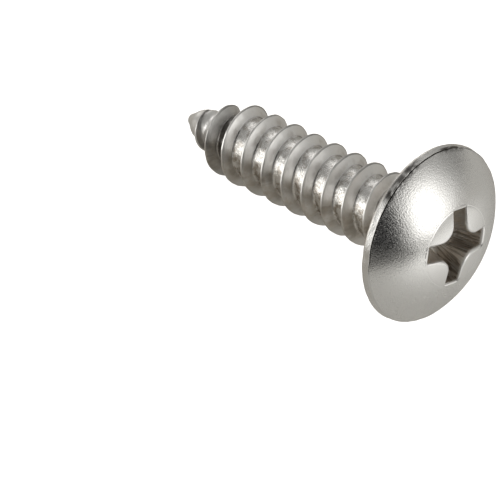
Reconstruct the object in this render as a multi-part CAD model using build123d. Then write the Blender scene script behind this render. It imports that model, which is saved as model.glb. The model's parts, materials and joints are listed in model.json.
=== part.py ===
from build123d import *
import os
from math import atan2, ceil, cos, degrees, pi, radians, sin, sqrt, tan

# Sheet metal screw, No. 10 by 3/4 inch, with a truss head, a cross recess and a gimlet point.
# Lengths are millimetres and angles are degrees.
# The screw is drawn along +X from its point, then laid down on the ground plane Z = 0.

# Thread, of 16 turns to the inch
thread_diameter = 4.8
pitch = 1.5875
flank_angle = 30.0
crest_flat = 0.12
thread_taper = 0.02

# Shank, cut a little under its nominal length
nominal_length = 19.05
length_under = 0.45
core_diameter = 3.5
neck_diameter = 3.9
neck_length = 1.7
neck_cone_length = 0.7
neck_flare = 0.25

# Run-out, where the thread sinks into the neck
fade_length = 2.4
fade_gap = 0.9

# Gimlet point
point_length = 4.4
tip_radius = 0.28
tip_flat = 0.1
tip_crest_height = 0.1
tip_bare_length = 0.5
crest_rise_length = 3.7

# Head
head_diameter = 10.8
rim_height = 0.58
rim_draft = 6.0
rim_bevel = 0.16
dome_height = 2.2

# Cross recess, measured where it opens on the dome
recess_span = 4.65
recess_wing_width = 1.1
recess_wing_depth = 2.05
recess_end_draft = 13.0
recess_side_draft = 3.0
recess_corner_radius = 0.85
recess_corner_draft = 22.0
recess_core_depth = 2.5
recess_core_diameter = 1.5
recess_core_floor = 0.5

# Turns about the axis, of the recess from where the thread starts and of the screw as it lies
recess_turn = 78.5
resting_turn = 81.0

# How finely the helix is drawn
spans_per_turn = 2
points_per_span = 6

# Depth to which the ridge is rooted in the core, so that the two become one solid
ridge_root = 0.12

# Height of the recess tool above the dome
tool_clearance = 0.5

# How finely the thread's lowest place is found
crest_samples_per_turn = 90

shank_length = nominal_length - length_under
thread_radius = thread_diameter / 2
core_radius = core_diameter / 2
neck_radius = neck_diameter / 2
head_radius = head_diameter / 2
neck_start = shank_length - neck_length
thread_end = shank_length - fade_gap
fade_start = thread_end - fade_length
dome_base = shank_length + rim_height
dome_edge_radius = head_radius - rim_height * tan(radians(rim_draft))
dome_radius = (dome_edge_radius**2 + dome_height**2) / (2 * dome_height)
apex = dome_base + dome_height


def bare_radius(x):
    """Radius of the shank without its thread, at the distance x from the point."""
    cone = tip_radius + (core_radius - tip_radius) * x / point_length
    return min(core_radius, cone)


def crest_radius(x):
    """Radius of the crest: it grows along the point and the shank, then sinks into the neck."""
    tip = tip_radius + tip_crest_height
    on_point = tip + (thread_radius - tip) * x / crest_rise_length
    on_shank = thread_radius * (1 - thread_taper * (1 - x / fade_start))
    radius = min(on_point, on_shank)
    if x > fade_start:
        radius -= (thread_radius - neck_radius + ridge_root) * (x - fade_start) / fade_length
    return radius


def ridge_section(x):
    """Outline of the thread at x: offsets along the axis and radii, round the crest."""
    crest = crest_radius(x)
    root = bare_radius(x) - ridge_root
    crest_half = crest_flat / 2
    root_half = crest_half + (crest - root) * tan(radians(flank_angle))
    return [(-root_half, root), (-crest_half, crest), (crest_half, crest), (root_half, root)]


def ridge_point(x, corner):
    """One corner of the outline, wound round the axis as a right-hand helix."""
    offset, radius = ridge_section(x)[corner]
    turn = 2 * pi * x / pitch
    return Vector(x + offset, -radius * sin(turn), radius * cos(turn))


def ridge_direction(x, corner):
    """Direction in which a corner runs at x."""
    step = pitch / 1000
    before = ridge_point(max(tip_bare_length, x - step), corner)
    after = ridge_point(min(thread_end, x + step), corner)
    return (after - before).normalized()


def ridge_curve(start, end, corner):
    """The path of one corner from start to end."""
    stations = [start + (end - start) * i / points_per_span for i in range(points_per_span + 1)]
    points = [ridge_point(x, corner) for x in stations]
    return Edge.make_spline(points, [ridge_direction(x, corner) for x in (start, end)])


def thread_ridge():
    """The thread as one closed ridge, from the gimlet point to its run-out."""
    corners = range(len(ridge_section(thread_end)))
    spans = ceil((thread_end - tip_bare_length) / pitch * spans_per_turn)
    ends = [tip_bare_length + (thread_end - tip_bare_length) * i / spans for i in range(spans + 1)]
    faces = []
    for start, end in zip(ends, ends[1:]):
        curves = [ridge_curve(start, end, corner) for corner in corners]
        for curve, neighbour in zip(curves, curves[1:] + curves[:1]):
            faces.append(Face.make_surface_from_curves(curve, neighbour))
    for x in (tip_bare_length, thread_end):
        outline = Polyline([ridge_point(x, corner) for corner in corners], close=True)
        faces.append(make_face(outline).face())
    return Solid(Shell(faces))


def turned_blank():
    """Point, core, neck and truss head, turned about the axis from one half outline."""
    outline = Polyline(
        (0, 0),
        (0, tip_flat),
        (tip_flat, tip_radius),
        (point_length, core_radius),
        (neck_start - neck_cone_length, core_radius),
        (neck_start, neck_radius),
        (shank_length - neck_flare, neck_radius),
        (shank_length, neck_radius + neck_flare),
        (shank_length, head_radius - rim_bevel),
        (shank_length + rim_bevel, head_radius),
        (dome_base, dome_edge_radius),
    )
    dome = RadiusArc((dome_base, dome_edge_radius), (apex, 0), dome_radius)
    axis = Line((apex, 0), (0, 0))
    return revolve(make_face(outline + dome + axis), Axis.X)


def recess_section(x, mouth):
    """The cross at x, with the corners between its wings rounded; it tapers as it goes in."""
    length = recess_span + 2 * (x - mouth) * tan(radians(recess_end_draft))
    width = recess_wing_width + 2 * (x - mouth) * tan(radians(recess_side_draft))
    corner = recess_corner_radius + (x - mouth) * tan(radians(recess_corner_draft))
    cross = Rectangle(length, width) + Rectangle(width, length)
    inner = cross.vertices().sort_by_distance((0, 0, 0))[:4]
    return Plane.YZ.offset(x) * fillet(inner, corner)


def cross_recess():
    """The driver's socket: a tapered cross with a blunt cone at its bottom."""
    mouth = apex - dome_radius + sqrt(dome_radius**2 - (recess_span / 2) ** 2)
    floor = apex - recess_wing_depth
    bottom = apex - recess_core_depth
    cross = loft([recess_section(x, mouth) for x in (floor, apex + tool_clearance)], ruled=True)
    half = Polyline(
        (bottom, 0),
        (bottom, recess_core_floor / 2),
        (floor, recess_core_diameter / 2),
        (floor, 0),
        close=True,
    )
    return Rot(recess_turn, 0, 0) * (cross + revolve(make_face(half), Axis.X))


def crest_line():
    """Points along both edges of the thread's crest."""
    steps = ceil((thread_end - tip_bare_length) / pitch * crest_samples_per_turn)
    stations = [tip_bare_length + (thread_end - tip_bare_length) * i / steps for i in range(steps + 1)]
    return [ridge_point(x, corner) for x in stations for corner in (1, 2)]


def resting_tilt():
    """Tilt at which the rim and the lowest crest both touch the ground."""
    rim_x = shank_length + rim_bevel
    turned = [Rot(resting_turn, 0, 0) * Pos(point) for point in crest_line()]
    return min(degrees(atan2(head_radius + place.position.Z, rim_x - place.position.X)) for place in turned)


def lay_down(shape):
    """Turn and tilt the screw, then set it on the ground with its box centred on Z."""
    laid = Rot(0, -resting_tilt(), 0) * Rot(resting_turn, 0, 0) * shape
    box = laid.bounding_box()
    return Pos(-box.center().X, -box.center().Y, -box.min.Z) * laid


screw = lay_down(turned_blank() + thread_ridge() - cross_recess())

os.makedirs("parts", exist_ok=True)
export_step(screw, "parts/screw.step")
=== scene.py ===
import json
import logging
import math
from dataclasses import dataclass
from enum import Enum

import bpy
import numpy as np
from mathutils import Matrix


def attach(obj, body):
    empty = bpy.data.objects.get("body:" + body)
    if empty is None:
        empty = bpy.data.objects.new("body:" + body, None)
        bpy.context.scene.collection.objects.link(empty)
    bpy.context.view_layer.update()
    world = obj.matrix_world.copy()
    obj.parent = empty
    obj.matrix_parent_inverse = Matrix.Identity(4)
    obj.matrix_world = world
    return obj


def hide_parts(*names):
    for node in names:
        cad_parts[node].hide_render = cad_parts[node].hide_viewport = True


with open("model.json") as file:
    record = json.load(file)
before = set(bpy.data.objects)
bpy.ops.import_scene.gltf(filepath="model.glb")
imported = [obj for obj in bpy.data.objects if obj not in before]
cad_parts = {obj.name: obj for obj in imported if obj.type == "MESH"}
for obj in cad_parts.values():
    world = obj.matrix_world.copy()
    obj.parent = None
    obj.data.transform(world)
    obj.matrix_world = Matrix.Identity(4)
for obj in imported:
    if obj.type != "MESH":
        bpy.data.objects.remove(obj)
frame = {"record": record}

MM = 0.001
GRAIN_RADIUS = 0.5
SHARP_ANGLE = 38.0
Array = np.ndarray
log = logging.getLogger("screw")
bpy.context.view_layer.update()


# Numbers worked out on whole arrays


def ramp(values: Array, low: float, high: float) -> Array:
    """Smooth step from 0 at low to 1 at high.

    Args:
        values: Places at which the step is read.
        low: Where it leaves 0; it may be the larger.
        high: Where it reaches 1.

    Returns:
        3 t^2 - 2 t^3 of the share t of the way from low to high.
    """
    share = np.clip((values - low) / (high - low), 0.0, 1.0)
    return share * share * (3.0 - 2.0 * share)


def window(values: Array, rise: tuple, fall: tuple) -> Array:
    """1 between a rise and a fall, and 0 beyond them.

    Args:
        values: Places at which it is read.
        rise: Where it leaves 0, and where it reaches 1.
        fall: Where it leaves 1, and where it reaches 0.

    Returns:
        The smooth step up times 1 minus the smooth step down.
    """
    return ramp(values, *rise) * (1.0 - ramp(values, *fall))


def shares(count: int) -> Array:
    """The shares k / count for k from 1 to count."""
    return np.arange(1, count + 1) / count


def between(first: Array, last: Array, count: int) -> Array:
    """Columns of values evenly spaced between two others, which are left out.

    Args:
        first: The column before them.
        last: The column after them.
        count: How many columns.

    Returns:
        first + (last - first) k / (count + 1) for k from 1 to count.
    """
    return first + (last - first) * (np.arange(1, count + 1) / (count + 1))


def line(start: tuple, end: tuple, count: int) -> Array:
    """Points on a straight line.

    Args:
        start: First point, left out of the result.
        end: Last point.
        count: How many points.

    Returns:
        The points start + (end - start) k / count for k from 1 to count.
    """
    return np.array(start) + (np.array(end) - np.array(start)) * shares(count)[:, None]


def arc(centre: tuple, radius: float, first: float, last: float, count: int) -> Array:
    """Points on a circular arc in the plane of (x, r).

    Args:
        centre: Centre of the arc.
        radius: Radius of the arc.
        first: Angle of the start in degrees, from +x towards +r; the start is left out.
        last: Angle of the end in degrees.
        count: How many points.

    Returns:
        The points centre + radius (cos a, sin a), evenly spaced in the angle a.
    """
    angle = np.radians(first + (last - first) * shares(count))
    return np.array(centre) + radius * np.stack([np.cos(angle), np.sin(angle)], axis=1)


def around(x: Array, radius: Array, turn: Array) -> Array:
    """Point at a distance along the axis, a radius and a turn from own +Z towards -Y.

    Args:
        x: Distance along the axis.
        radius: Distance from the axis.
        turn: Turn in radians.

    Returns:
        (x, -radius sin turn, radius cos turn).
    """
    return np.stack(np.broadcast_arrays(x, -radius * np.sin(turn), radius * np.cos(turn)), axis=-1)


def wrapped(run: Array, turn: Array) -> Array:
    """Coordinates of marks round the axis: (run, r sin turn, r cos turn), with the grain's radius r."""
    y, z = GRAIN_RADIUS * np.sin(turn), GRAIN_RADIUS * np.cos(turn)
    return np.stack(np.broadcast_arrays(run, y, z), axis=-1)


@dataclass(frozen=True)
class Waves:
    """A smooth random swell, the same on every run.

    It is the sum of plane waves of one length in random directions, scaled to a mean square of 1.
    """

    length: float
    seed: int
    count: int = 20

    def at(self, points: Array) -> Array:
        """Height of the swell.

        Args:
            points: Points, with their coordinates in the last axis.

        Returns:
            sqrt(2 / count) times the sum of sin(k . p + phase) over the waves.
        """
        draw = np.random.default_rng(self.seed)
        ways = draw.normal(size=(self.count, 3))
        ways *= 2.0 * math.pi / self.length / np.linalg.norm(ways, axis=1, keepdims=True)
        phases = draw.uniform(0.0, 2.0 * math.pi, self.count)
        return np.sin(points @ ways.T + phases).sum(axis=-1) * math.sqrt(2.0 / self.count)


# The screw's own frame


@dataclass(frozen=True)
class Sizes:
    """Sizes of the screw in millimetres and degrees.

    The first are those of the part's source. From rim_corner on they are marks that only the scene has: the
    rim's rounding, the dip and the ring left by the punch, the metal heaped on the point between two places
    along it, and the wear of the first crest.
    """

    thread_radius: float = 2.4
    pitch: float = 1.5875
    flank_angle: float = 30.0
    thread_taper: float = 0.02
    shank_length: float = 18.6
    core_radius: float = 1.75
    neck_radius: float = 1.95
    neck_length: float = 1.7
    neck_cone_length: float = 0.7
    neck_flare: float = 0.25
    fade_length: float = 2.4
    fade_gap: float = 0.9
    ridge_root: float = 0.12
    point_length: float = 4.4
    crest_rise_length: float = 3.7
    tip_radius: float = 0.28
    tip_crest_height: float = 0.1
    head_radius: float = 5.4
    rim_height: float = 0.58
    rim_draft: float = 6.0
    dome_height: float = 2.2
    recess_span: float = 4.65
    recess_wing_width: float = 1.1
    recess_wing_depth: float = 2.05
    recess_end_draft: float = 13.0
    recess_side_draft: float = 3.0
    recess_corner_radius: float = 0.85
    recess_corner_draft: float = 22.0
    recess_core_depth: float = 2.5
    recess_core_diameter: float = 1.5
    recess_core_floor: float = 0.5
    recess_turn: float = 78.5
    resting_turn: float = 81.0
    rim_corner: float = 0.20
    punch_radius: float = 2.445
    punch_dip: float = 0.09
    heap: float = 0.28
    heap_rise: tuple = (0.05, 0.9)
    heap_fall: tuple = (1.45, 2.0)
    first_wear: float = 0.02
    first_wear_end: tuple = (0.9, 1.7)

    @property
    def fade_start(self) -> float:
        """Where the thread starts to sink into the neck, along the axis."""
        return self.shank_length - self.fade_gap - self.fade_length

    @property
    def dome_base(self) -> float:
        """Where the dome starts, along the axis."""
        return self.shank_length + self.rim_height

    @property
    def dome_edge(self) -> float:
        """Radius at which the dome meets the rim."""
        return self.head_radius - self.rim_height * math.tan(math.radians(self.rim_draft))

    @property
    def dome_radius(self) -> float:
        """Radius of the sphere that the dome is part of."""
        return (self.dome_edge**2 + self.dome_height**2) / (2.0 * self.dome_height)

    @property
    def apex(self) -> float:
        """Where the dome's top would be, along the axis."""
        return self.dome_base + self.dome_height

    @property
    def mouth(self) -> float:
        """Where the ends of the recess's wings meet the dome, along the axis."""
        return float(self.dome(np.array(self.recess_span / 2.0)))

    def dome(self, radius: Array) -> Array:
        """Place along the axis of the dome's surface at a radius: apex - R + sqrt(R^2 - radius^2)."""
        return self.apex - self.dome_radius + np.sqrt(self.dome_radius**2 - radius**2)

    def face(self, radius: Array) -> Array:
        """The dome as the punch leaves it: sunk by dip (1 - (radius / punch radius)^2) inside its ring."""
        return self.dome(radius) - self.punch_dip * np.maximum(0.0, 1.0 - (radius / self.punch_radius) ** 2)

    def bare(self, x: Array) -> Array:
        """Radius of the shank without its thread: a cone with its heap, the core, a rise to the neck."""
        cone = self.tip_radius + (self.core_radius - self.tip_radius) * x / self.point_length
        neck_start = self.shank_length - self.neck_length
        rise = ramp(x, neck_start - self.neck_cone_length, neck_start)
        heap = self.heap * window(x, self.heap_rise, self.heap_fall)
        return np.minimum(self.core_radius, cone) + heap + (self.neck_radius - self.core_radius) * rise

    def crest(self, x: Array) -> Array:
        """Radius of the crest: it grows on the point and the shank, then sinks into the neck."""
        tip = self.tip_radius + self.tip_crest_height
        on_point = tip + (self.thread_radius - tip) * x / self.crest_rise_length
        on_shank = self.thread_radius * (1.0 - self.thread_taper * (1.0 - x / self.fade_start))
        sink = (self.thread_radius - self.neck_radius + self.ridge_root) / self.fade_length
        worn = self.first_wear * (1.0 - ramp(x, *self.first_wear_end))
        return np.minimum(on_point, on_shank) - worn - sink * np.maximum(0.0, x - self.fade_start)


class Placement:
    """Carries points from the screw's own frame to the part's frame.

    In the own frame x runs along the axis from the point to the head, in millimetres. The record's mount at
    the top of the head says where the axis lies, and the resting turn is the roll about it.
    """

    def __init__(self, record: dict, sizes: Sizes) -> None:
        """Reads the axis from the record.

        Args:
            record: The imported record.
            sizes: Sizes of the screw.
        """
        mount = next(m for m in record["mounts"] if m["name"] == "driver_recess")
        axis = np.array(mount["axis"], float)
        axis /= np.linalg.norm(axis)
        across = np.array([0.0, 1.0, 0.0])
        above = np.cross(axis, across)
        turn = math.radians(sizes.resting_turn)
        self.axes = np.array([
            axis,
            math.cos(turn) * across + math.sin(turn) * above,
            -math.sin(turn) * across + math.cos(turn) * above,
        ])
        self.origin = np.array(mount["pos_m"], float) - axis * sizes.apex * MM

    def place(self, points: Array) -> Array:
        """Own-frame millimetres to the part's metres: origin + p . axes / 1000."""
        return self.origin + points @ self.axes * MM


# Surfaces


class Mask(Enum):
    """What the finish reads at each point, by the name of the mesh's attribute."""

    HEIGHT = "height"
    RECESS = "recess"
    UNDER = "under"
    # Darkening in folds of the thread, painted shade in and under the head's fold and in the thread's second
    # fold, and a real nick.
    SCALE = "scale"


@dataclass
class Skin:
    """Points of a surface with what the finish needs to know at each of them.

    Points and grain have one row for each point: its place, and the coordinates along which tool marks
    run. The masks are the height on the thread or the wear on the head, the recess, the hammered
    underside, and the darkening in folds: painted shade in the thread's second fold and in and under the
    head's fold, with a real nick. A mask that isn't given is 0.
    """

    points: Array
    grain: Array
    masks: dict[Mask, Array]

    def mask(self, name: Mask) -> Array:
        """One of the masks, with one number for each point."""
        return self.masks.get(name, np.zeros(len(self.points)))

    @staticmethod
    def join(skins: list["Skin"]) -> "Skin":
        """All the skins as one, in the order given."""
        masks = {name: np.concatenate([skin.mask(name) for skin in skins]) for name in Mask}
        points, grain = (np.concatenate([getattr(s, name) for s in skins]) for name in ("points", "grain"))
        return Skin(points, grain, masks)


def quads_between(lower: Array, upper: Array) -> Array:
    """Faces between rings of point numbers.

    Args:
        lower: Point numbers, one ring in each row.
        upper: The next ring of each, in the same shape.

    Returns:
        For each ring and column j, the quad lower j, lower j + 1, upper j + 1, upper j.
    """
    corners = [lower, np.roll(lower, -1, axis=-1), np.roll(upper, -1, axis=-1), upper]
    return np.stack(corners, axis=-1).reshape(-1, 4)


def fan(ring: Array, point: int) -> Array:
    """Triangles that close a ring of point numbers with one point: ring j, ring j + 1, point."""
    return np.stack([ring, np.roll(ring, -1), np.full(len(ring), point)], axis=1)


@dataclass(frozen=True)
class DarkFold:
    """A dark stretch between two places along the thread and two distances from its crest."""

    begin: tuple
    end: tuple
    near: tuple
    far: tuple

    def at(self, middle: Array, along: Array) -> Array:
        """1 in the fold and 0 beyond it, by the crest's place and the distance from the crest."""
        return window(middle, self.begin, self.end) * window(along, self.near, self.far)


@dataclass(frozen=True)
class Shank:
    """The threaded shank, from its point to a ring on the neck.

    Its grid follows the thread: a column is one pitch of the thread's profile, cut along the axis at one
    turn, and the columns go round the screw as a helix, so crest, flanks, root fillets and core are rows
    of the grid. Swells are the heights of random waves, in millimetres, but flank_swell is a share of the
    profile's width.
    """

    sizes: Sizes
    columns: int
    start: float = 0.12
    end: float = 17.4
    begin: tuple = (0.2, 0.75)
    least_height: float = 0.004
    full_height: float = 0.6
    crest_half: float = 0.058
    crest_round: float = 0.035
    crest_wear: float = 0.010
    root_round: float = 0.15
    root_share: float = 1.6
    flank_swell: float = 0.02
    core_swell: float = 0.006
    fine_swell: float = 0.0035
    swell_begin: tuple = (0.4, 2.0)
    crest_waves: Waves = Waves(0.9, 11)
    flank_waves: Waves = Waves(1.1, 12)
    core_waves: Waves = Waves(0.8, 13)
    fine_waves: Waves = Waves(0.36, 14)
    round_rows: int = 4
    flank_rows: int = 5
    valley_rows: int = 6
    tip_rows: int = 7
    grain_gap: float = 0.05
    first_fold: DarkFold = DarkFold((0.80, 1.00), (1.75, 1.95), (0.03, 0.08), (0.20, 0.34))
    second_fold: DarkFold = DarkFold((2.2, 2.5), (3.55, 3.8), (0.06, 0.14), (0.95, 1.25))
    second_shade: float = 0.85
    second_loss: float = 0.45
    second_climb: tuple = (0.04, 0.3)
    nick_place: float = 2.743
    nick_slant: float = 0.165
    nick_middle: float = 0.55
    nick_width: float = 0.025
    nick_ends: tuple = ((0.30, 0.40), (0.68, 0.78))

    def half_profile(self, height: Array) -> tuple[Array, Array]:
        """Half of the thread's section, from the middle of the crest to the foot of the flank.

        A flat crest, a rounded corner, a straight flank at the flank angle and a hollow fillet to the core.
        A lower thread keeps the same form with smaller roundings.

        Args:
            height: Height of the crest above the core, one number for each column.

        Returns:
            Distance along the axis from the crest's middle and height above the core, columns by rows.
        """
        steep = math.radians(90.0 - self.sizes.flank_angle)
        tall = height[:, None]
        rounding = np.minimum(self.crest_round, 0.5 * tall)
        root = np.minimum(self.root_round, self.root_share * tall)
        half = np.minimum(self.crest_half, 0.5 * tall)
        bend = half - rounding * math.tan(steep / 2.0)
        foot = half + tall / math.tan(steep)
        turn = steep * np.linspace(0.0, 1.0, self.round_rows)[None, :]
        top_s = bend + rounding * np.sin(turn)
        top_h = tall - rounding * (1.0 - np.cos(turn))
        turn = turn[:, ::-1]
        low_s = foot + root * math.tan(steep / 2.0) - root * np.sin(turn)
        low_h = root * (1.0 - np.cos(turn))
        flank_s = between(top_s[:, -1:], low_s[:, :1], self.flank_rows)
        flank_h = between(top_h[:, -1:], low_h[:, :1], self.flank_rows)
        return (np.concatenate([np.zeros_like(tall), top_s, flank_s, low_s], axis=1),
                np.concatenate([tall, top_h, flank_h, low_h], axis=1))

    def stations(self) -> tuple[Array, Array, Array]:
        """The columns, from a turn before the start to a turn past the end.

        Returns:
            The number of each column, its turn = recess turn + 2 pi number / columns in radians, and the
            place of its crest's middle along the axis = pitch turn / 2 pi.
        """
        offset = math.radians(self.sizes.recess_turn)
        lead = self.sizes.pitch / (2.0 * math.pi)
        first = math.floor((self.start / lead - offset) / (2.0 * math.pi)) - 1
        last = math.ceil((self.end / lead - offset) / (2.0 * math.pi)) + 1
        number = np.arange(first * self.columns, (last + 1) * self.columns + 1)
        turn = offset + 2.0 * math.pi * number / self.columns
        return number, turn, lead * turn

    def profiles(self, turn: Array, middle: Array) -> tuple[Array, Array]:
        """One pitch of the thread for each column but those of the last turn, from crest to crest.

        It is this crest's half section, the core between the two fillets, and the half section of the
        crest one turn on, mirrored.

        Args:
            turn: Turn of each column.
            middle: Place of each column's crest.

        Returns:
            Distance along the axis from the crest's middle and height above the core, columns by rows.
        """
        n, pitch = self.columns, self.sizes.pitch
        ring = around(middle / pitch, np.ones_like(turn), turn)
        uneven = 1.0 - 0.5 * np.clip(self.crest_waves.at(ring), -2.0, 2.0)
        crest = self.sizes.crest(middle) - self.crest_wear * uneven
        begun = ramp(middle, *self.begin)
        s, h = self.half_profile(np.maximum(self.least_height, (crest - self.sizes.bare(middle)) * begun))
        s = s * (1.0 + self.flank_swell * self.flank_waves.at(ring))[:, None]
        left_s, left_h = s[:-n], h[:-n]
        right_s, right_h = pitch - s[n:, ::-1], h[n:, ::-1]
        valley_s = between(left_s[:, -1:], right_s[:, :1], self.valley_rows)
        valley_h = between(left_h[:, -1:], right_h[:, :1], self.valley_rows)
        return (np.concatenate([left_s, valley_s, right_s[:, :-1]], axis=1),
                np.concatenate([left_h, valley_h, right_h[:, :-1]], axis=1))

    def dark(self, middle: Array, along: Array, above: Array) -> Array:
        """Darkening beside the first crest, painted shade beside the second that is darker towards the root,
        and a real nick across the second valley.

        Args:
            middle: Place of each column's crest.
            along: Distance from that crest.
            above: Height above the core.

        Returns:
            The strongest of both folds and the nick, which is exp(-(distance from its line / its width)^2).
        """
        second = self.second_shade - self.second_loss * ramp(above, *self.second_climb)
        second = second * self.second_fold.at(middle, along)
        nick = middle - self.nick_place + self.nick_slant * (along - self.nick_middle)
        nick = np.exp(-((nick / self.nick_width) ** 2)) * window(along, *self.nick_ends)
        return np.maximum(np.maximum(second, self.first_fold.at(middle, along)), nick)

    def faces(self, x: Array, number: Array) -> tuple[Array, Array]:
        """Faces of the grid, where all points past an end are the same column's point of that end's ring.

        A face with all its points past an end vanishes, and one with two points that are the same is a
        triangle.

        Args:
            x: Place of each point along the axis.
            number: Number of each column.

        Returns:
            The quads and the triangles. The rings' points come after the grid's, the start's ring first.
        """
        n = self.columns
        column = np.broadcast_to(number % n, x.shape)
        own = np.arange(x.size).reshape(x.shape)
        own = np.where(x <= self.start, x.size + column, own)
        own = np.where(x >= self.end, x.size + n + column, own)
        near = own[:-n]
        far = np.concatenate([near[:, 1:], own[n:, :1]], axis=1)
        corners = np.stack([near[:-1], near[1:], far[1:], far[:-1]], axis=-1).reshape(-1, 4)
        different = 1 + (np.diff(np.sort(corners, axis=1), axis=1) > 0).sum(axis=1)
        thin = corners[different == 3]
        repeat = np.argmax(thin == np.roll(thin, -1, axis=1), axis=1)
        keep = (repeat[:, None] + np.array([1, 2, 3])) % 4
        return corners[different == 4], np.take_along_axis(thin, keep, axis=1)

    def build(self) -> tuple[Skin, Array, Array, Array]:
        """The shank's points and faces.

        Point (i, k) lies at the turn 2 pi i / columns and at the distance pitch i / columns + s(k) along
        the axis, on the radius of the bare shank plus h(k). Rings on a quarter of an ellipse close the
        point.

        Returns:
            The skin, the quads, the triangles, and the numbers of the points of the ring at the neck.
        """
        n = self.columns
        number, turn, middle = self.stations()
        along, above = self.profiles(turn, middle)
        number, turn, middle = (values[:-n, None] for values in (number, turn, middle))
        x = middle + along
        quads, triangles = self.faces(x, number)
        free = (x > self.start) & (x < self.end)
        above = np.where(free, above, 0.0)
        x = np.clip(x, self.start, self.end)
        ground = around(x, self.sizes.bare(x), turn)
        swell = self.core_swell * self.core_waves.at(ground) + self.fine_swell * self.fine_waves.at(ground)
        swell = np.where(free, swell, 0.0) * ramp(x, *self.swell_begin)
        points = around(x, self.sizes.bare(x) + above + swell, turn)
        run = np.concatenate([[0.0], np.cumsum(np.hypot(np.diff(along[0]), np.diff(above[0])))])
        run = run + (run[-1] + self.grain_gap) * number / n
        grid = Skin(points.reshape(-1, 3), wrapped(run, turn).reshape(-1, 3), {
            Mask.HEIGHT: (above / self.full_height).ravel(),
            Mask.SCALE: self.dark(middle, along, above).ravel(),
        })

        corner_turn = math.radians(self.sizes.recess_turn) + 2.0 * math.pi * np.arange(n) / n
        low, high = (
            around(end, self.sizes.bare(np.array(end)), corner_turn) for end in (self.start, self.end)
        )
        rise = np.radians(90.0 * np.arange(self.tip_rows - 1, 0, -1) / self.tip_rows)[:, None]
        blunt = around(self.start * (1.0 - np.cos(rise)),
                       self.sizes.bare(np.array(self.start)) * np.sin(rise), corner_turn)
        closing = np.concatenate([low, high, blunt.reshape(-1, 3), np.zeros((1, 3))])
        skin = Skin.join([grid, Skin(closing, GRAIN_RADIUS * closing, {})])
        rings = x.size + np.arange(len(closing) - 1).reshape(-1, n)
        circles = np.delete(rings, 1, axis=0)
        quads = np.concatenate([quads, quads_between(circles[1:], circles[:-1])])
        triangles = np.concatenate([triangles, fan(circles[-1], len(skin.points) - 1)[:, ::-1]])
        return skin, quads, triangles, rings[1]


@dataclass(frozen=True)
class CrossOutline:
    """The recess's outline as a fixed number of columns round the axis.

    Each quarter goes from the middle of a wing's end along its side, round the corner between two wings
    to the next wing. Every point is a sum of half span, half width and corner radius with fixed weights,
    so one product gives the outline at any depth.
    """

    end: int = 4
    side: int = 8
    corner: int = 20

    @property
    def columns(self) -> int:
        """How many columns the whole outline has."""
        return 4 * (2 * self.end + 2 * self.side + self.corner)

    @staticmethod
    def stretch(share: Array, ahead: tuple, aside: tuple) -> Array:
        """Weights of one stretch of the outline.

        Args:
            share: One number for each column of the stretch.
            ahead: The weights for the coordinate along the wing, each a number or one for each column.
            aside: The weights for the coordinate across the wing.

        Returns:
            Columns by coordinates by weights.
        """
        rows = [np.stack(np.broadcast_arrays(share, *weights)[1:], axis=-1) for weights in (ahead, aside)]
        return np.stack(rows, axis=1)

    def weights(self) -> Array:
        """Weights of (half span, half width, corner radius) for both plan coordinates of each column."""
        end = np.arange(self.end) / self.end
        side = np.arange(self.side) / self.side
        turn = np.radians(270.0 - 90.0 * np.arange(self.corner) / self.corner)
        return np.concatenate([
            self.stretch(end, (1, 0, 0), (0, end, 0)),
            self.stretch(side, (1 - side, side, side), (0, 1, 0)),
            self.stretch(turn, (0, 1, 1 + np.cos(turn)), (0, 1, 1 + np.sin(turn))),
            self.stretch(side, (0, 1, 0), (side, 1 - side, 1 - side)),
            self.stretch(end, (0, 1 - end, 0), (1, 0, 0)),
        ])

    def plan(self, span: Array, width: Array, corner: Array, turn: float) -> tuple[Array, Array]:
        """The outline in the own frame.

        Args:
            span: Half span at each column.
            width: Half width of a wing at each column.
            corner: Radius of the corner between wings at each column.
            turn: Turn of the first wing in radians.

        Returns:
            Own y and z of each column.
        """
        weights = np.tile(self.weights(), (4, 1, 1))
        ahead, aside = np.einsum("cij,cj->ic", weights, np.stack([span, width, corner], axis=1))
        quarter = turn + np.repeat(np.arange(4), self.columns // 4) * math.pi / 2.0
        y = -np.sin(quarter) * ahead - np.cos(quarter) * aside
        z = np.cos(quarter) * ahead - np.sin(quarter) * aside
        return y, z


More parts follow.
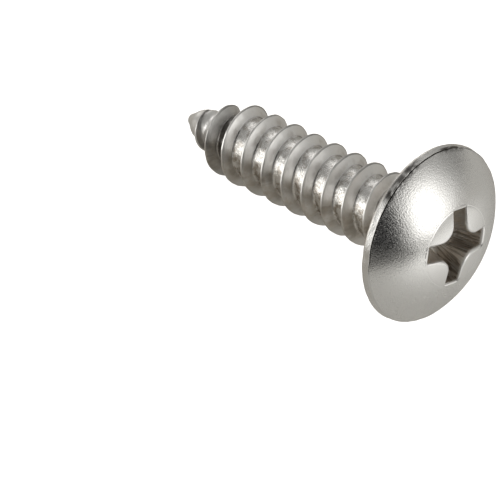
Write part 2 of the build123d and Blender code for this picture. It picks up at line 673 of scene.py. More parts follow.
@dataclass(frozen=True)
class TrussHead:
    """The neck, the wide low head and its cross recess, from a ring on the neck to the recess's floor.

    A shade streak is the turn of its middle, half its angle and its width below the dome: a torn streak
    of painted shade on the rim that widens the fold's dark line. Dents are the heights of the coarse and
    the fine random waves. Edges are pairs of places between which a stretch of the surface fades.
    """

    sizes: Sizes
    outline: CrossOutline
    start: float
    trim: float = 0.008
    groove: float = 0.045
    groove_depth: float = 1.1
    groove_lean: float = 0.4
    groove_rest: float = 0.10
    groove_shade_rest: float = 0.15
    fold_turn: float = 285.0
    fold_fade: tuple = (0.20, 0.45)
    shade_streaks: tuple = ((295.0, 13.0, 0.27), (250.0, 7.0, 0.10))
    shade_streak_fade: float = 5.0
    shade_streak_edge: float = 0.12
    shade_streak_breaks: tuple = (-0.9, -0.1)
    rim_edge: tuple = (4.9, 5.3)
    rim_top: tuple = (0.02, 0.25)
    dome_edge: tuple = (0.02, 0.4)
    seat_edges: tuple = ((2.3, 2.8), (4.9, 5.2))
    rim_dents: tuple = (0.010, 0.006)
    rim_dent_most: float = 0.007
    seat_lift: float = 0.006
    seat_dents: tuple = (0.004, 0.002)
    dome_dent: float = 0.0012
    coarse_waves: Waves = Waves(1.3, 21)
    fine_waves: Waves = Waves(0.55, 22)
    shade_streak_waves: Waves = Waves(0.30, 23)
    gouge_waves: Waves = Waves(0.22, 31)
    collar: float = 2.5
    collar_steps: tuple = (
        0.012, 0.024, 0.036, 0.05, 0.065, 0.085, 0.13, 0.22, 0.34, 0.47, 0.6, 0.73, 0.86, 1.0,
    )
    collar_wear: float = 0.035
    lip: float = 0.085
    lip_turn: float = 160.0
    lip_growth: float = 0.6
    lip_edge: tuple = (0.85, 0.95)
    lip_steps: tuple = ((0.06, 0.02), (0.35, 0.16), (0.65, 0.32), (0.92, 0.48), (1.0, 0.57))
    lip_wear: float = 0.5
    mark_depth: float = 0.014
    mark_width: float = 0.022
    mark_edge: tuple = (2.1, 2.3)
    mouth_steps: int = 8
    neck_rows: int = 10
    fillet_rows: int = 7
    seat_rows: int = 18
    corner_rows: int = 8
    rim_rows: int = 8
    groove_rows: int = 2
    dome_rows: int = 34
    wall_rows: int = 14
    floor_rows: int = 4
    cone_rows: int = 5
    gouge: float = 0.012
    score_stretch: float = 0.12

    def profile(self) -> tuple[Array, Array, Array, Array]:
        """Half outline of neck, underside, rim, the fold between rim and dome, and dome.

        Returns:
            Points (x, r) without the fold, how far the fold moves each of them, 1 at each point of the
            underside, and 1 at each point down in the fold.
        """
        s = self.sizes
        rim = s.head_radius - self.trim
        flare = s.neck_radius + s.neck_flare
        inner = rim - s.rim_corner
        slope = math.atan2(rim - s.dome_edge, s.dome_base - s.shank_length - s.rim_corner)
        back = (s.dome_base - self.groove * math.cos(slope), s.dome_edge + self.groove * math.sin(slope))
        front = (float(s.dome(np.array(s.dome_edge - self.groove))), s.dome_edge - self.groove)
        inward = -np.array([math.sin(slope + self.groove_lean), math.cos(slope + self.groove_lean)])
        bottom = 0.5 * (np.array(back) + front) + inward * self.groove * self.groove_depth
        flare_x, corner_x = s.shank_length - s.neck_flare, s.shank_length + s.rim_corner
        radius = line((front[1],), (self.collar,), self.dome_rows)[:, 0]
        parts = {
            "neck": line((self.start, s.neck_radius), (flare_x, s.neck_radius), self.neck_rows),
            "fillet": arc((flare_x, flare), s.neck_flare, 270.0, 360.0, self.fillet_rows),
            "seat": line((s.shank_length, flare), (s.shank_length, inner), self.seat_rows),
            "corner": arc((corner_x, inner), s.rim_corner, 180.0, 90.0, self.corner_rows),
            "rim": line((corner_x, rim), back, self.rim_rows),
            "groove": line(back, front, 2 * self.groove_rows),
            "dome": np.stack([s.dome(radius), radius], axis=1),
        }
        name = np.repeat(list(parts), [len(points) for points in parts.values()])
        sunk = np.concatenate([line(back, bottom, self.groove_rows), line(bottom, front, self.groove_rows)])
        offset = np.zeros((len(name), 2))
        offset[name == "groove"] = sunk - parts["groove"]
        folded = (name == "groove").astype(float)
        folded[np.flatnonzero(folded)[-1]] = 0.0
        under = np.isin(name, ("fillet", "seat", "corner")).astype(float)
        return np.concatenate(list(parts.values())), offset, under, folded

    def streaked_shade(self, turns: Array, above: Array) -> Array:
        """Painted shade in torn streaks on the rim below the fold.

        Args:
            turns: Turn of each column in radians.
            above: Height of each point above the dome's base.

        Returns:
            1 in a streak of painted shade and 0 beyond it.
        """
        streak_shade = np.zeros(above.shape)
        for place, half, width in self.shade_streaks:
            ends = (math.cos(math.radians(angle)) for angle in (half + self.shade_streak_fade, half))
            near = ramp(np.cos(turns - math.radians(place)), *ends)
            streak_shade = np.maximum(streak_shade, near * ramp(above, -width - self.shade_streak_edge, -width))
        return streak_shade

    def build(self, turns: Array) -> Skin:
        """The head's rings of points.

        Args:
            turns: Turn of each column in radians.

        Returns:
            The skin, ring by ring and closed by one point at the bottom of the recess.
        """
        profile, offset, under, folded = self.profile()
        fold = ramp(np.cos(turns - math.radians(self.fold_turn)), *self.fold_fade)
        depth = self.groove_rest + (1.0 - self.groove_rest) * fold
        x, radius = (profile[:, k, None] + offset[:, k, None] * depth for k in range(2))
        smooth = around(x, radius, turns)
        coarse, fine = self.coarse_waves.at(smooth), self.fine_waves.at(smooth)
        above = x - self.sizes.dome_base
        on_rim = ramp(radius, *self.rim_edge) * (1.0 - ramp(above, *self.rim_top))
        on_dome = ramp(above, *self.dome_edge)
        on_seat = under[:, None] * window(radius, *self.seat_edges)
        dent = on_rim * (self.rim_dents[0] * coarse + self.rim_dents[1] * fine)
        rings = around(x, radius + np.minimum(dent, self.rim_dent_most), turns)
        rings[..., 0] += on_seat * (self.seat_lift + self.seat_dents[0] * coarse + self.seat_dents[1] * fine)
        rings[..., 0] += on_dome * self.dome_dent * coarse
        # Painted shade in torn streaks on the rim below the fold, widening its dark line.
        streak_shade = self.streaked_shade(turns, above) * on_rim
        streak_shade = streak_shade * ramp(self.shade_streak_waves.at(rings) + 0.6 * fine, *self.shade_streak_breaks)
        # Painted shade down in the fold, full round fold_turn, the side in view, and faint elsewhere.
        scale = folded[:, None] * (self.groove_shade_rest + (1.0 - self.groove_shade_rest) * fold)
        share = on_dome[..., None]
        grain = wrapped(x + radius, turns) * (1.0 - share) + rings * share
        outer = Skin(rings.reshape(-1, 3), grain.reshape(-1, 3), {
            Mask.UNDER: np.repeat(under, len(turns)),
            Mask.SCALE: np.maximum(scale, streak_shade).ravel(),
        })
        return Skin.join([outer, self.recess(turns)])

    def cross(self, x: Array, grow: float | Array = 0.0) -> tuple[Array, Array]:
        """The recess's outline at each column's own place along the axis.

        Args:
            x: Place along the axis at each column.
            grow: How far the outline is moved out into the metal.

        Returns:
            Own y and z of each column.
        """
        s = self.sizes
        rise = x - s.mouth
        span = s.recess_span / 2.0 + rise * math.tan(math.radians(s.recess_end_draft)) + grow
        width = s.recess_wing_width / 2.0 + rise * math.tan(math.radians(s.recess_side_draft)) + grow
        corner = s.recess_corner_radius + rise * math.tan(math.radians(s.recess_corner_draft)) - grow
        return self.outline.plan(span, width, corner, math.radians(s.recess_turn))

    def opening(self, turns: Array) -> tuple[Array, Array]:
        """Rings from the collar on the dome over the lip to the top of the walls.

        The place of the outline on the dome is found step by step, because it narrows as it sinks. On the
        dome a ring is part of the way from the collar's circle to the lip, with the punch's ring mark
        exp(-((radius - punch radius) / width)^2) sunk into it. The lip is a small chamfer, rounded by its
        steps: shares of its width and of its drop.

        Args:
            turns: Turn of each column in radians.

        Returns:
            The rings and the wear at each of their points.
        """
        s = self.sizes
        mouth = np.full(len(turns), s.mouth)
        for _ in range(self.mouth_steps):
            mouth = s.face(np.hypot(*self.cross(mouth)))
        wide = ramp(np.cos(turns - math.radians(self.lip_turn)), *self.lip_edge)
        lip = self.lip * (1.0 + self.lip_growth * wide)
        lip_y, lip_z = self.cross(mouth, lip)
        share = np.array(self.collar_steps)[:, None]
        y = -self.collar * np.sin(turns) * (1.0 - share) + lip_y * share
        z = self.collar * np.cos(turns) * (1.0 - share) + lip_z * share
        radius = np.hypot(y, z)
        mark = np.exp(-(((radius - s.punch_radius) / self.mark_width) ** 2))
        mark = mark * (1.0 - ramp(np.hypot(lip_y, lip_z), *self.mark_edge))
        rings = [np.stack([s.face(radius) - self.mark_depth * mark, y, z], axis=-1)]
        for part, drop in self.lip_steps:
            y, z = self.cross(mouth, lip * (1.0 - part))
            rings.append(np.stack([s.face(np.hypot(y, z)) - lip * drop, y, z], axis=-1)[None])
        rings = np.concatenate(rings)
        wear = np.full(rings.shape[:2], self.lip_wear)
        wear[: len(share)] = self.collar_wear
        return rings, wear

    def walls(self, edge: Array, turns: Array) -> Array:
        """Rings down the recess: straight walls with gouges in them, the floor, and the bottom's cone.

        Args:
            edge: Points of the walls' top.
            turns: Turn of each column in radians.

        Returns:
            The rings, without the edge and without the bottom's middle.
        """
        s = self.sizes
        floor = s.apex - s.recess_wing_depth
        t = shares(self.wall_rows)[:, None]
        depth = edge[:, 0] * (1.0 - t) + floor * t
        wall = np.stack([np.stack([level, *self.cross(level)], axis=-1) for level in depth])
        gouge = self.gouge * np.sin(np.pi * t) ** 0.5 * self.gouge_waves.at(edge * np.array([0.0, 1.0, 1.0]))
        wall[..., 1:] *= (1.0 + gouge / np.hypot(wall[..., 1], wall[..., 2]))[..., None]
        t = shares(self.floor_rows)[:, None, None]
        ground = wall[-1] * (1.0 - t) + around(floor, s.recess_core_diameter / 2.0, turns) * t
        t = shares(self.cone_rows)[:, None]
        radius = s.recess_core_diameter / 2.0 * (1.0 - t) + s.recess_core_floor / 2.0 * t
        cone = around(floor - (s.recess_core_depth - s.recess_wing_depth) * t, radius, turns)
        return np.concatenate([wall, ground, cone])

    def recess(self, turns: Array) -> Skin:
        """The cross recess with its lip and the dome round it.

        Args:
            turns: Turn of each column in radians.

        Returns:
            The skin of these rings, with the point in the middle of the bottom last.
        """
        shown, wear = self.opening(turns)
        walls = self.walls(shown[-1], turns)
        bottom = np.array([[self.sizes.apex - self.sizes.recess_core_depth, 0.0, 0.0]])
        scores = np.broadcast_to(shown[-1], walls.shape).copy()
        scores[..., 0] = self.score_stretch * walls[..., 0]
        points = np.concatenate([shown.reshape(-1, 3), walls.reshape(-1, 3), bottom])
        grain = np.concatenate([shown.reshape(-1, 3), scores.reshape(-1, 3), bottom])
        inside = np.arange(len(points)) >= wear.size
        worn = np.concatenate([wear.ravel(), np.zeros(inside.sum())])
        return Skin(points, grain, {Mask.HEIGHT: worn, Mask.RECESS: inside.astype(float)})


class Screw:
    """The whole screw as one closed surface."""

    def __init__(self, sizes: Sizes) -> None:
        """Sets up the shank and the head on the same columns.

        Args:
            sizes: Sizes of the screw.
        """
        self.outline = CrossOutline()
        self.shank = Shank(sizes, self.outline.columns)
        self.head = TrussHead(sizes, self.outline, start=self.shank.end)

    def build(self, placement: Placement) -> bpy.types.Object:
        """Makes the screw's mesh.

        Args:
            placement: Carries the own frame to the part's.

        Returns:
            The new object, at the origin, with its place in its mesh.
        """
        n = self.outline.columns
        shank, quads, triangles, neck = self.shank.build()
        turns = np.arctan2(-shank.points[neck, 1], shank.points[neck, 2])
        head = self.head.build(turns)
        rings = len(shank.points) + np.arange(len(head.points) - 1).reshape(-1, n)
        rings = np.concatenate([neck[None, :], rings])
        skin = Skin.join([shank, head])
        quads = np.concatenate([quads, quads_between(rings[:-1], rings[1:])])
        triangles = np.concatenate([triangles, fan(rings[-1], len(skin.points) - 1)])
        return self.mesh(skin, quads, triangles, placement)

    @staticmethod
    def mesh(skin: Skin, quads: Array, triangles: Array, placement: Placement) -> bpy.types.Object:
        """Puts points, faces and attributes into a mesh.

        Args:
            skin: Points and what the finish reads.
            quads: Faces of four points.
            triangles: Faces of three points.
            placement: Carries the own frame to the part's.

        Returns:
            The object of the mesh, linked to the scene.
        """
        used, flat = np.unique(np.concatenate([quads.ravel(), triangles.ravel()]), return_inverse=True)
        quads = flat[: quads.size].reshape(-1, 4)
        triangles = flat[quads.size:].reshape(-1, 3)
        points = placement.place(skin.points[used])
        halves = np.concatenate([quads[:, [0, 1, 2]], quads[:, [0, 2, 3]], triangles])
        a, b, c = (points[halves[:, k]] - points.mean(axis=0) for k in range(3))
        volume = float(np.einsum("ij,ij->i", a, np.cross(b, c)).sum()) / 6.0
        if volume < 0.0:
            quads, triangles = quads[:, ::-1], triangles[:, ::-1]
        log.info("screw: %d points, %d quads, %d triangles, volume %.1f mm3",
                 len(points), len(quads), len(triangles), abs(volume) / MM**3)
        mesh = bpy.data.meshes.new("screw_body")
        mesh.vertices.add(len(points))
        mesh.vertices.foreach_set("co", points.astype(np.float32).ravel())
        mesh.loops.add(quads.size + triangles.size)
        corners = np.concatenate([quads.ravel(), triangles.ravel()])
        mesh.loops.foreach_set("vertex_index", corners.astype(np.int32))
        mesh.polygons.add(len(quads) + len(triangles))
        starts = np.concatenate([4 * np.arange(len(quads)), quads.size + 3 * np.arange(len(triangles))])
        mesh.polygons.foreach_set("loop_start", starts.astype(np.int32))
        mesh.update(calc_edges=True)
        for name in Mask:
            attribute = mesh.attributes.new(name.value, "FLOAT", "POINT")
            attribute.data.foreach_set("value", skin.mask(name)[used].astype(np.float32))
        grain = mesh.attributes.new("grain", "FLOAT_VECTOR", "POINT")
        grain.data.foreach_set("vector", skin.grain[used].astype(np.float32).ravel())
        mesh.polygons.foreach_set("use_smooth", np.ones(len(mesh.polygons), bool))
        mesh.set_sharp_from_angle(angle=math.radians(SHARP_ANGLE))
        log.info("screw: mesh changed by validate: %s", mesh.validate())
        piece = bpy.data.objects.new("screw_body", mesh)
        bpy.context.scene.collection.objects.link(piece)
        return piece

    @staticmethod
    def dress(piece: bpy.types.Object) -> None:
        """Gives the screw its steel."""
        piece.data.materials.append(TumbledSteel().build())


# Shader maths


class Graph:
    """A node tree that is being filled."""

    def __init__(self, tree: bpy.types.NodeTree) -> None:
        """Takes a node tree and empties it."""
        self.tree = tree
        tree.nodes.clear()

    @staticmethod
    def of_material(name: str) -> tuple[bpy.types.Material, "Graph"]:
        """A new material and the graph of its nodes."""
        material = bpy.data.materials.new(name)
        material.use_nodes = True
        return material, Graph(material.node_tree)

    def node(self, kind: str, settings: dict | None = None, inputs: dict | None = None) -> bpy.types.Node:
        """Adds one node.

        Args:
            kind: Blender's name of the node type.
            settings: The node's own properties.
            inputs: Values, sockets or fields by socket name or number.

        Returns:
            The new node.
        """
        node = self.tree.nodes.new(kind)
        for name, value in (settings or {}).items():
            setattr(node, name, value)
        for name, value in (inputs or {}).items():
            socket = value.socket if isinstance(value, Field) else value
            if isinstance(socket, bpy.types.NodeSocket):
                self.tree.links.new(socket, node.inputs[name])
            else:
                node.inputs[name].default_value = socket
        return node

    def field(self, kind: str, settings: dict | None = None, inputs: dict | None = None,
              output: str | int = 0) -> "Field":
        """Adds one node and wraps one of its outputs as a field."""
        return Field(self, self.node(kind, settings, inputs).outputs[output])

    def axes(self, place: bpy.types.NodeSocket) -> tuple["Field", ...]:
        """The three coordinates of a vector, as fields."""
        parts = self.node("ShaderNodeSeparateXYZ", None, {0: place})
        return tuple(Field(self, output) for output in parts.outputs)

    def noise(self, place: bpy.types.NodeSocket, scale: float, detail: float, roughness: float) -> "Field":
        """A noise texture read at a place, from 0 to 1.

        Args:
            place: Socket with the coordinates.
            scale: Lumps in each unit of the coordinates.
            detail: How many finer layers are added.
            roughness: How strong each finer layer is.

        Returns:
            The noise as a field.
        """
        return self.field("ShaderNodeTexNoise", {"noise_dimensions": "3D"},
                          {"Vector": place, "Scale": scale, "Detail": detail, "Roughness": roughness}, "Fac")

    def layers(self, base: tuple, *coats: tuple) -> bpy.types.NodeSocket:
        """A colour under coats of others, each of which covers it by its share.

        Args:
            base: The lowest colour.
            coats: Pairs of a share from 0 to 1 and a colour, from the lowest to the top.

        Returns:
            The colour at the top.
        """
        below = (*base, 1.0)
        for share, colour in coats:
            inputs = {0: share, 6: below, 7: (*colour, 1.0)}
            below = self.node("ShaderNodeMix", {"data_type": "RGBA"}, inputs).outputs[2]
        return below


class Field:
    """A number that varies: a socket whose operators add Math nodes."""

    def __init__(self, graph: Graph, socket: bpy.types.NodeSocket) -> None:
        """Wraps a socket of a graph."""
        self.graph = graph
        self.socket = socket

    def join(self, operation: str, *values: object) -> "Field":
        """Adds a Math node.

        Args:
            operation: The Math node's operation.
            values: Its inputs in order.

        Returns:
            The node's result.
        """
        return self.graph.field("ShaderNodeMath", {"operation": operation}, dict(enumerate(values)))

    def __add__(self, other: object) -> "Field":
        """Sum."""
        return self.join("ADD", self, other)

    def __radd__(self, other: object) -> "Field":
        """Sum, with a plain number first."""
        return self.join("ADD", other, self)

    def __sub__(self, other: object) -> "Field":
        """Difference."""
        return self.join("SUBTRACT", self, other)

    def __rsub__(self, other: object) -> "Field":
        """Difference, with a plain number first."""
        return self.join("SUBTRACT", other, self)

    def __mul__(self, other: object) -> "Field":
        """Product."""
        return self.join("MULTIPLY", self, other)

    def __rmul__(self, other: object) -> "Field":
        """Product, with a plain number first."""
        return self.join("MULTIPLY", other, self)

    def most(self, other: object) -> "Field":
        """The larger of the two."""
        return self.join("MAXIMUM", self, other)

    def least(self, other: object) -> "Field":
        """The smaller of the two."""
        return self.join("MINIMUM", self, other)

    def step(self, low: float, high: float) -> "Field":
        """Smooth step from 0 at low to 1 at high; low may be the larger."""
        return self.graph.field("ShaderNodeMapRange", {"interpolation_type": "SMOOTHSTEP"},
                                {0: self, 1: low, 2: high, 3: 0.0, 4: 1.0})

    def inside(self, rise: tuple, fall: tuple) -> "Field":
        """1 between two steps, the first up and the second down, which starts at its larger place."""
        return self.step(*rise) * self.step(*fall)


# Finishes


@dataclass(frozen=True)
class TumbledSteel:
    """Stainless steel as the screw comes from heading, thread rolling and tumbling.

    Colours are those of the metal itself, but for coats of painted shade: a band on the -Y side of the
    thread, the root fillets and the crests' tops on the +Y side, and folds of the thread and the head. A
    noise is its scale, its detail and its roughness; marks and scores are read along the grain. Ends and
    edges are pairs of places between which a stretch fades, in metres for ends and sides, in shares of the
    thread's height for the others. Heights of marks are in millimetres.
    """

    clean: tuple = (0.735, 0.728, 0.712)
    bright: tuple = (0.840, 0.830, 0.812)
    dull: tuple = (0.620, 0.535, 0.440)
    # Brown: a faint tint on the whole shank, and painted shade in the band on the -Y side.
    tint_and_shade: tuple = (0.570, 0.525, 0.465)
    # Dark brown for random mottles and scores, and for painted shade in the band.
    spot: tuple = (0.300, 0.265, 0.225)
    # Painted shade along the tops of the crests on one side.
    crest: tuple = (0.170, 0.163, 0.152)
    # Painted shadow in root fillets, painted shade in folds, and the dark nick.
    dark: tuple = (0.060, 0.054, 0.048)
    cloud: tuple = (900.0, 3.0, 0.55)
    mottle: tuple = (2400.0, 3.0, 0.65)
    peel: tuple = (3100.0, 2.0, 0.5)
    speckle: tuple = (11000.0, 2.0, 0.6)
    grit: tuple = (13500.0, 1.0, 0.5)
    marks: tuple = (9.0, 3.0, 0.6)
    scores: tuple = (6.0, 2.0, 0.6)
    point_end: tuple = (-0.0088, -0.0076)
    shank_end: tuple = (0.0072, 0.0066)
    shade_band_side: tuple = (0.0012, -0.0016)
    shade_band_slope: float = 0.2
    shade_band_ends: tuple = ((0.0020, 0.0030), (0.0052, 0.0042))
    foot_shadow_side: tuple = (0.0009, 0.0014)
    crest_shade_side: tuple = (-0.0012, 0.0002)
    score_side: tuple = (-0.0050, -0.0042)
    face_edge: tuple = (0.035, 0.01)
    flank_edge: tuple = (0.04, 0.16)
    foot_shadow_edges: tuple = ((0.005, 0.04), (0.36, 0.16))
    crest_edge: tuple = (0.93, 0.98)
    peel_height: float = 0.0020
    speckle_height: float = 0.0118
    mark_height: float = 0.0016
    score_height: float = 0.060
    dome_roughness: float = 0.22
    core_roughness: float = 0.20
    flank_roughness: float = 0.37
    recess_roughness: float = 0.36
    under_roughness: float = 0.12
    cloud_roughness: float = 0.08
    grit_roughness: float = 0.42

    def build(self) -> bpy.types.Material:
        """The material, read from Object coordinates and the piece's own attributes."""
        material, g = Graph.of_material("tumbled_steel")
        on = SteelStretches(g, self)
        relief = {"Strength": 1.0, "Distance": 1.0, "Height": self.relief(on) * MM}
        bump = g.node("ShaderNodeBump", None, relief)
        shader = g.node("ShaderNodeBsdfPrincipled", None, {
            "Base Color": self.colour(g, on), "Metallic": 1.0, "Roughness": self.roughness(on),
            "Normal": bump.outputs["Normal"],
        })
        g.node("ShaderNodeOutputMaterial", None, {"Surface": shader.outputs["BSDF"]})
        return material

    def colour(self, g: Graph, on: "SteelStretches") -> bpy.types.NodeSocket:
        """The metal's colour: clean steel under coats of dirt, a brown tint, spots and polish, with painted
        shade in a band, the root fillets, the crests and the folds, and dark marks.
        """
        dirt = (on.recess * 0.50 + on.under * 0.25) * on.cloud.step(0.25, 0.6)
        dirt = dirt + on.marks.step(0.5, 0.75) * on.recess * 0.3
        thread = on.flank * on.shank
        streaks = (on.cloud * 0.55 + on.marks * 0.45).step(0.49, 0.62)
        polish = (thread * (1.0 - on.shade_band) * 0.85).most(1.0 - on.body)
        # Darkening beside the first crest, painted shade in the second fold and in and under the head's
        # fold, darker where the thread's height is 0, with the real nick.
        scale = on.scale * (0.72 + 0.26 * on.height.step(0.02, 0.0))
        scale = scale * (0.75 + 0.25 * on.cloud.step(0.4, 0.6))
        return g.layers(
            self.clean,
            (dirt.least(1.0), self.dull),
            # A faint brown tint on the shank, much stronger in the band as painted shade.
            (on.shank * (0.10 + on.shade_band * (0.35 + on.mottle.step(0.40, 0.62) * 0.45)), self.tint_and_shade),
            # Random dark mottles on the core, stronger in the band as painted shade.
            (on.core * on.mottle.step(0.48, 0.60) * (0.50 + on.shade_band * 0.30), self.spot),
            # Painted shade on the flanks towards the root, in the band.
            (on.flank * on.shade_band * on.height.step(0.75, 0.2) * 0.35, self.spot),
            # Painted shadow in the root fillets on the +Y side.
            (on.foot * on.aside.step(*self.foot_shadow_side) * 0.85, self.dark),
            # Painted shade in streaks across the band.
            (thread * on.shade_band * streaks * 0.5, self.spot),
            (polish, self.bright),
            (thread * on.height.step(0.85, 0.35) * on.cloud.step(0.47, 0.66) * 0.32, self.spot),
            # Painted shade along the tops of the crests on the +Y side.
            (on.top * on.aside.step(*self.crest_shade_side) * 0.62, self.crest),
            (on.recess * on.scores.step(0.50, 0.58) * (on.scored * 0.75), self.spot),
            (on.recess * on.scores.step(0.44, 0.38) * (on.scored * 0.55 + 0.20), self.clean),
            (scale, self.dark),
        )

    def roughness(self, on: "SteelStretches") -> Field:
        """Roughness of the polished dome, and how far the other stretches differ from it."""
        return (self.dome_roughness + (on.cloud - 0.5) * self.cloud_roughness
                + (on.grit - 0.5) * (on.face * self.grit_roughness)
                + on.flank.most(1.0 - on.body) * (self.flank_roughness - self.dome_roughness)
                + on.core * (self.core_roughness - self.dome_roughness)
                + on.recess * (self.recess_roughness - self.dome_roughness)
                + on.under * self.under_roughness)

    def relief(self, on: "SteelStretches") -> Field:
        """Height of the finest marks: peel and speckle, rolling marks, and scores in the recess."""
        return (on.peel * (self.peel_height * (1.0 + on.core * 9.0))
                + on.speckle * (self.speckle_height * (0.4 + on.face * 0.6 + on.core * 0.5))
                + on.marks * (self.mark_height * (on.flank * 0.8 + on.under * 1.6 + 0.15))
                + on.scores * (self.score_height * on.recess))


class SteelStretches:
    """Where on the screw its finish changes, as fields from 0 to 1, and the noises that break it up."""

    def __init__(self, g: Graph, steel: TumbledSteel) -> None:
        """Adds the nodes that read the piece's attributes, its coordinates and the noises.

        Args:
            g: Graph of the material.
            steel: The finish whose places and noises they are.
        """
        # scale holds the painted shade in folds, with the real nick.
        self.height, self.recess, self.under, self.scale = (
            g.field("ShaderNodeAttribute", {"attribute_name": name.value}, output="Fac") for name in Mask
        )
        place = g.node("ShaderNodeTexCoord").outputs["Object"]
        grain = g.node("ShaderNodeAttribute", {"attribute_name": "grain"}).outputs["Vector"]
        noises = (steel.cloud, steel.mottle, steel.peel, steel.speckle, steel.grit)
        self.cloud, self.mottle, self.peel, self.speckle, self.grit = (g.noise(place, *n) for n in noises)
        self.marks, self.scores = (g.noise(grain, *n) for n in (steel.marks, steel.scores))
        along, self.aside, upward = g.axes(place)
        self.shank = along.step(*steel.shank_end)
        self.body = along.step(*steel.point_end)
        self.face = self.height.step(*steel.face_edge) * (1.0 - self.recess)
        self.flank = self.height.step(*steel.flank_edge)
        self.top = self.height.step(*steel.crest_edge)
        self.core = (1.0 - self.flank) * self.shank * self.body
        # The root fillets, where shadow is painted.
        self.foot = self.height.inside(*steel.foot_shadow_edges) * self.shank * self.body
        # A band on the -Y side of the thread, where shade is painted.
        level = upward - along * steel.shade_band_slope
        self.shade_band = level.inside(*steel.shade_band_ends) * self.aside.step(*steel.shade_band_side)
        self.scored = (self.aside - upward).step(*steel.score_side)


@dataclass(frozen=True)
class PaleFloor:
    """A matt floor that the camera sees as white.

    Its glow is painted light: a pool round a point towards the soft box stands in for the box's light on
    the floor, with a faint glow elsewhere and none in a far corner on the -Y side. Its pale top takes the
    screw's shadow, and has painted shade round the shank, lighter ahead towards the head and darker in the
    far corner. Ends and reaches are in metres.
    """

    # near and ahead: the top's colours, painted shade round the shank and lighter ahead.
    near: tuple = (0.66, 0.63, 0.58)
    ahead: tuple = (0.90, 0.89, 0.86)
    far: tuple = (0.22, 0.215, 0.21)
    base: tuple = (0.070, 0.069, 0.066)
    painted_glow: tuple = (0.72, 0.72, 0.71)
    black: tuple = (0.0, 0.0, 0.0)
    painted_glow_centre: tuple = (0.032, 0.006, 0.0)
    painted_glow_reach: tuple = (0.025, 0.006)
    ahead_end: tuple = (0.003, 0.011)
    far_reach: tuple = (0.026, 0.052)
    far_side: tuple = (0.0, -0.012)
    far_end: tuple = (0.010, 0.022)
    lift: float = 0.95

    def build(self) -> bpy.types.Material:
        """The material: a matt surface with a painted glow of light, to which the camera's rays add a plain
        white.
        """
        material, g = Graph.of_material("pale_floor")
        place = g.node("ShaderNodeTexCoord").outputs["Object"]
        ends = {0: place, 1: self.painted_glow_centre}
        away = g.field("ShaderNodeVectorMath", {"operation": "DISTANCE"}, ends, "Value")
        reach = g.field("ShaderNodeVectorMath", {"operation": "LENGTH"}, {0: place}, "Value")
        forward, aside, _ = g.axes(place)
        beyond = reach.step(*self.far_reach) * aside.step(*self.far_side) * forward.step(*self.far_end)
        # Painted light: a glow pooled towards the soft box, faint elsewhere and none in the far corner.
        light = g.layers(self.base, (beyond, self.black), (away.step(*self.painted_glow_reach), self.painted_glow))
        # Painted shade round the shank, lighter ahead towards the head, darker in the far corner.
        top = g.layers(self.near, (forward.step(*self.ahead_end), self.ahead), (beyond, self.far))
        matt = g.node("ShaderNodeBsdfDiffuse", None, {"Color": top})
        painted_glow = g.node("ShaderNodeEmission", None, {"Color": light, "Strength": 1.0})
        matt_and_glow = g.node("ShaderNodeAddShader", None, {0: matt.outputs[0], 1: painted_glow.outputs[0]})
        white = g.node("ShaderNodeEmission", None, {"Color": (1.0, 1.0, 1.0, 1.0), "Strength": self.lift})
        lifted = g.node("ShaderNodeAddShader", None, {0: matt_and_glow.outputs[0], 1: white.outputs[0]})
        seen = g.field("ShaderNodeLightPath", output="Is Camera Ray")
        both = g.node("ShaderNodeMixShader", None, {0: seen, 1: matt_and_glow.outputs[0], 2: lifted.outputs[0]})
        g.node("ShaderNodeOutputMaterial", None, {"Surface": both.outputs[0]})
        return material


# Studio


@dataclass(frozen=True)
class Panel:
    """A panel of the studio as the screw sees it.

    Its two sides are pairs of azimuths from +X, and its edge is a pair of elevations, all in degrees.
    Each pair is where the panel has faded away and where it is whole.
    """

    colour: tuple
    first: tuple
    second: tuple
    edge: tuple

    def share(self, azimuth: Field, elevation: Field) -> Field:
        """1 on the panel and 0 beside it."""
        return azimuth.inside(self.first, self.second) * elevation.step(*self.edge)


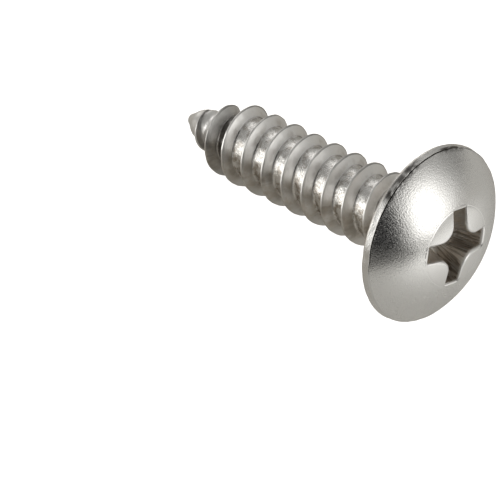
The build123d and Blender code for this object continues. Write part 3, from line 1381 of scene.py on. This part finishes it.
@dataclass(frozen=True)
class Studio:
    """Plain soft studio light: a pale tent with a large soft box and a dark card, and the floor."""

    tent: tuple = (0.42, 0.415, 0.40)
    ceiling: tuple = (0.315, 0.31, 0.30)
    ceiling_edge: tuple = (36.0, 58.0)
    gap: Panel = Panel((0.24, 0.235, 0.225), (58.0, 66.0), (80.0, 72.0), (32.0, 18.0))
    left: Panel = Panel((2.2, 2.18, 2.13), (-104.0, -126.0), (-162.0, -146.0), (47.0, 18.0))
    right: Panel = Panel((1.5, 1.48, 1.45), (126.0, 143.0), (174.0, 160.0), (44.0, 24.0))
    card: Panel = Panel((0.013, 0.013, 0.014), (-58.0, -46.0), (-8.0, -20.0), (66.0, 54.0))
    card_top: Panel = Panel((0.013, 0.013, 0.014), (-60.0, -40.0), (24.0, 0.0), (40.0, 48.0))
    box: Panel = Panel((2.15, 2.13, 2.08), (-15.0, 9.0), (56.0, 12.0), (52.0, 26.0))
    white: tuple = (1.0, 1.0, 1.0)
    floor_size: float = 4.0

    def light(self) -> None:
        """Fills the world: colour by direction, and plain white for the camera."""
        world = bpy.data.worlds.new("studio")
        bpy.context.scene.world = world
        world.use_nodes = True
        g = Graph(world.node_tree)
        x, y, z = g.axes(g.node("ShaderNodeTexCoord").outputs["Generated"])
        azimuth = x.join("ARCTAN2", y, x) * math.degrees(1.0)
        elevation = z.join("ARCSINE", z) * math.degrees(1.0)
        gap, left, right, card, card_top, box = (
            panel.share(azimuth, elevation)
            for panel in (self.gap, self.left, self.right, self.card, self.card_top, self.box)
        )
        colour = g.layers(
            self.tent,
            (elevation.step(*self.ceiling_edge), self.ceiling),
            (gap, self.gap.colour),
            (left, self.left.colour),
            (right, self.right.colour),
            (card.most(card_top), self.card.colour),
            (box, self.box.colour),
            (g.field("ShaderNodeLightPath", output="Is Camera Ray"), self.white),
        )
        sky = g.node("ShaderNodeBackground", None, {"Color": colour, "Strength": 1.0})
        g.node("ShaderNodeOutputWorld", None, {"Surface": sky.outputs[0]})

    def floor(self) -> bpy.types.Object:
        """A flat square sheet under the screw."""
        half = self.floor_size / 2.0
        corners = [(-half, -half, 0.0), (half, -half, 0.0), (half, half, 0.0), (-half, half, 0.0)]
        mesh = bpy.data.meshes.new("floor")
        mesh.from_pydata(corners, [], [(0, 1, 2, 3)])
        sheet = bpy.data.objects.new("floor", mesh)
        bpy.context.scene.collection.objects.link(sheet)
        mesh.materials.append(PaleFloor().build())
        return sheet


@dataclass(frozen=True)
class PhotoCamera:
    """A camera at the photograph's viewing angle.

    Turn and rise are the camera's azimuth from +X towards -Y and its elevation, in degrees, and its
    distance is in millimetres. The aim is given by the place of one point of the axis in the 500 by 500
    frame, and the scale is the frame's pixels for each millimetre there.
    """

    turn: float = 47.50
    rise: float = 47.60
    distance: float = 482.0
    scale: float = 17.359
    aim_x: float = 10.5
    aim_pixel: tuple = (321.66, 181.33)
    frame_pixels: float = 500.0
    sensor: float = 36.0
    clip: tuple = (0.01, 20.0)

    def build(self, placement: Placement) -> None:
        """Adds the camera and makes it the scene's.

        Args:
            placement: Gives the aimed point in the part's frame.
        """
        turn, rise = math.radians(self.turn), math.radians(self.rise)
        back = np.array([math.cos(rise) * math.cos(turn), -math.cos(rise) * math.sin(turn), math.sin(rise)])
        right = np.cross([0.0, 0.0, 1.0], back)
        right /= np.linalg.norm(right)
        up = np.cross(back, right)
        aim = placement.place(np.array([self.aim_x, 0.0, 0.0]))
        aside, below = (MM * (pixel - self.frame_pixels / 2.0) / self.scale for pixel in self.aim_pixel)
        spot = aim - aside * right + below * up + self.distance * MM * back
        data = bpy.data.cameras.new("camera")
        data.sensor_width = self.sensor
        data.lens = self.sensor * self.distance / (self.frame_pixels / self.scale)
        data.clip_start, data.clip_end = self.clip
        camera = bpy.data.objects.new("camera", data)
        matrix = np.eye(4)
        matrix[:3] = np.stack([right, up, back, spot], axis=1)
        camera.matrix_world = Matrix(matrix.tolist())
        bpy.context.scene.collection.objects.link(camera)
        bpy.context.scene.camera = camera


def main() -> None:
    """Builds the screw, dresses it and sets up the studio."""
    logging.basicConfig(level=logging.INFO, format="%(message)s")
    bpy.context.scene.view_settings.view_transform = "Standard"
    sizes = Sizes()
    placement = Placement(frame["record"], sizes)
    screw = Screw(sizes)
    piece = screw.build(placement)
    screw.dress(piece)
    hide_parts("screw")
    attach(piece, "root")
    studio = Studio()
    studio.light()
    studio.floor()
    PhotoCamera().build(placement)


if __name__ == "__main__":
    main()
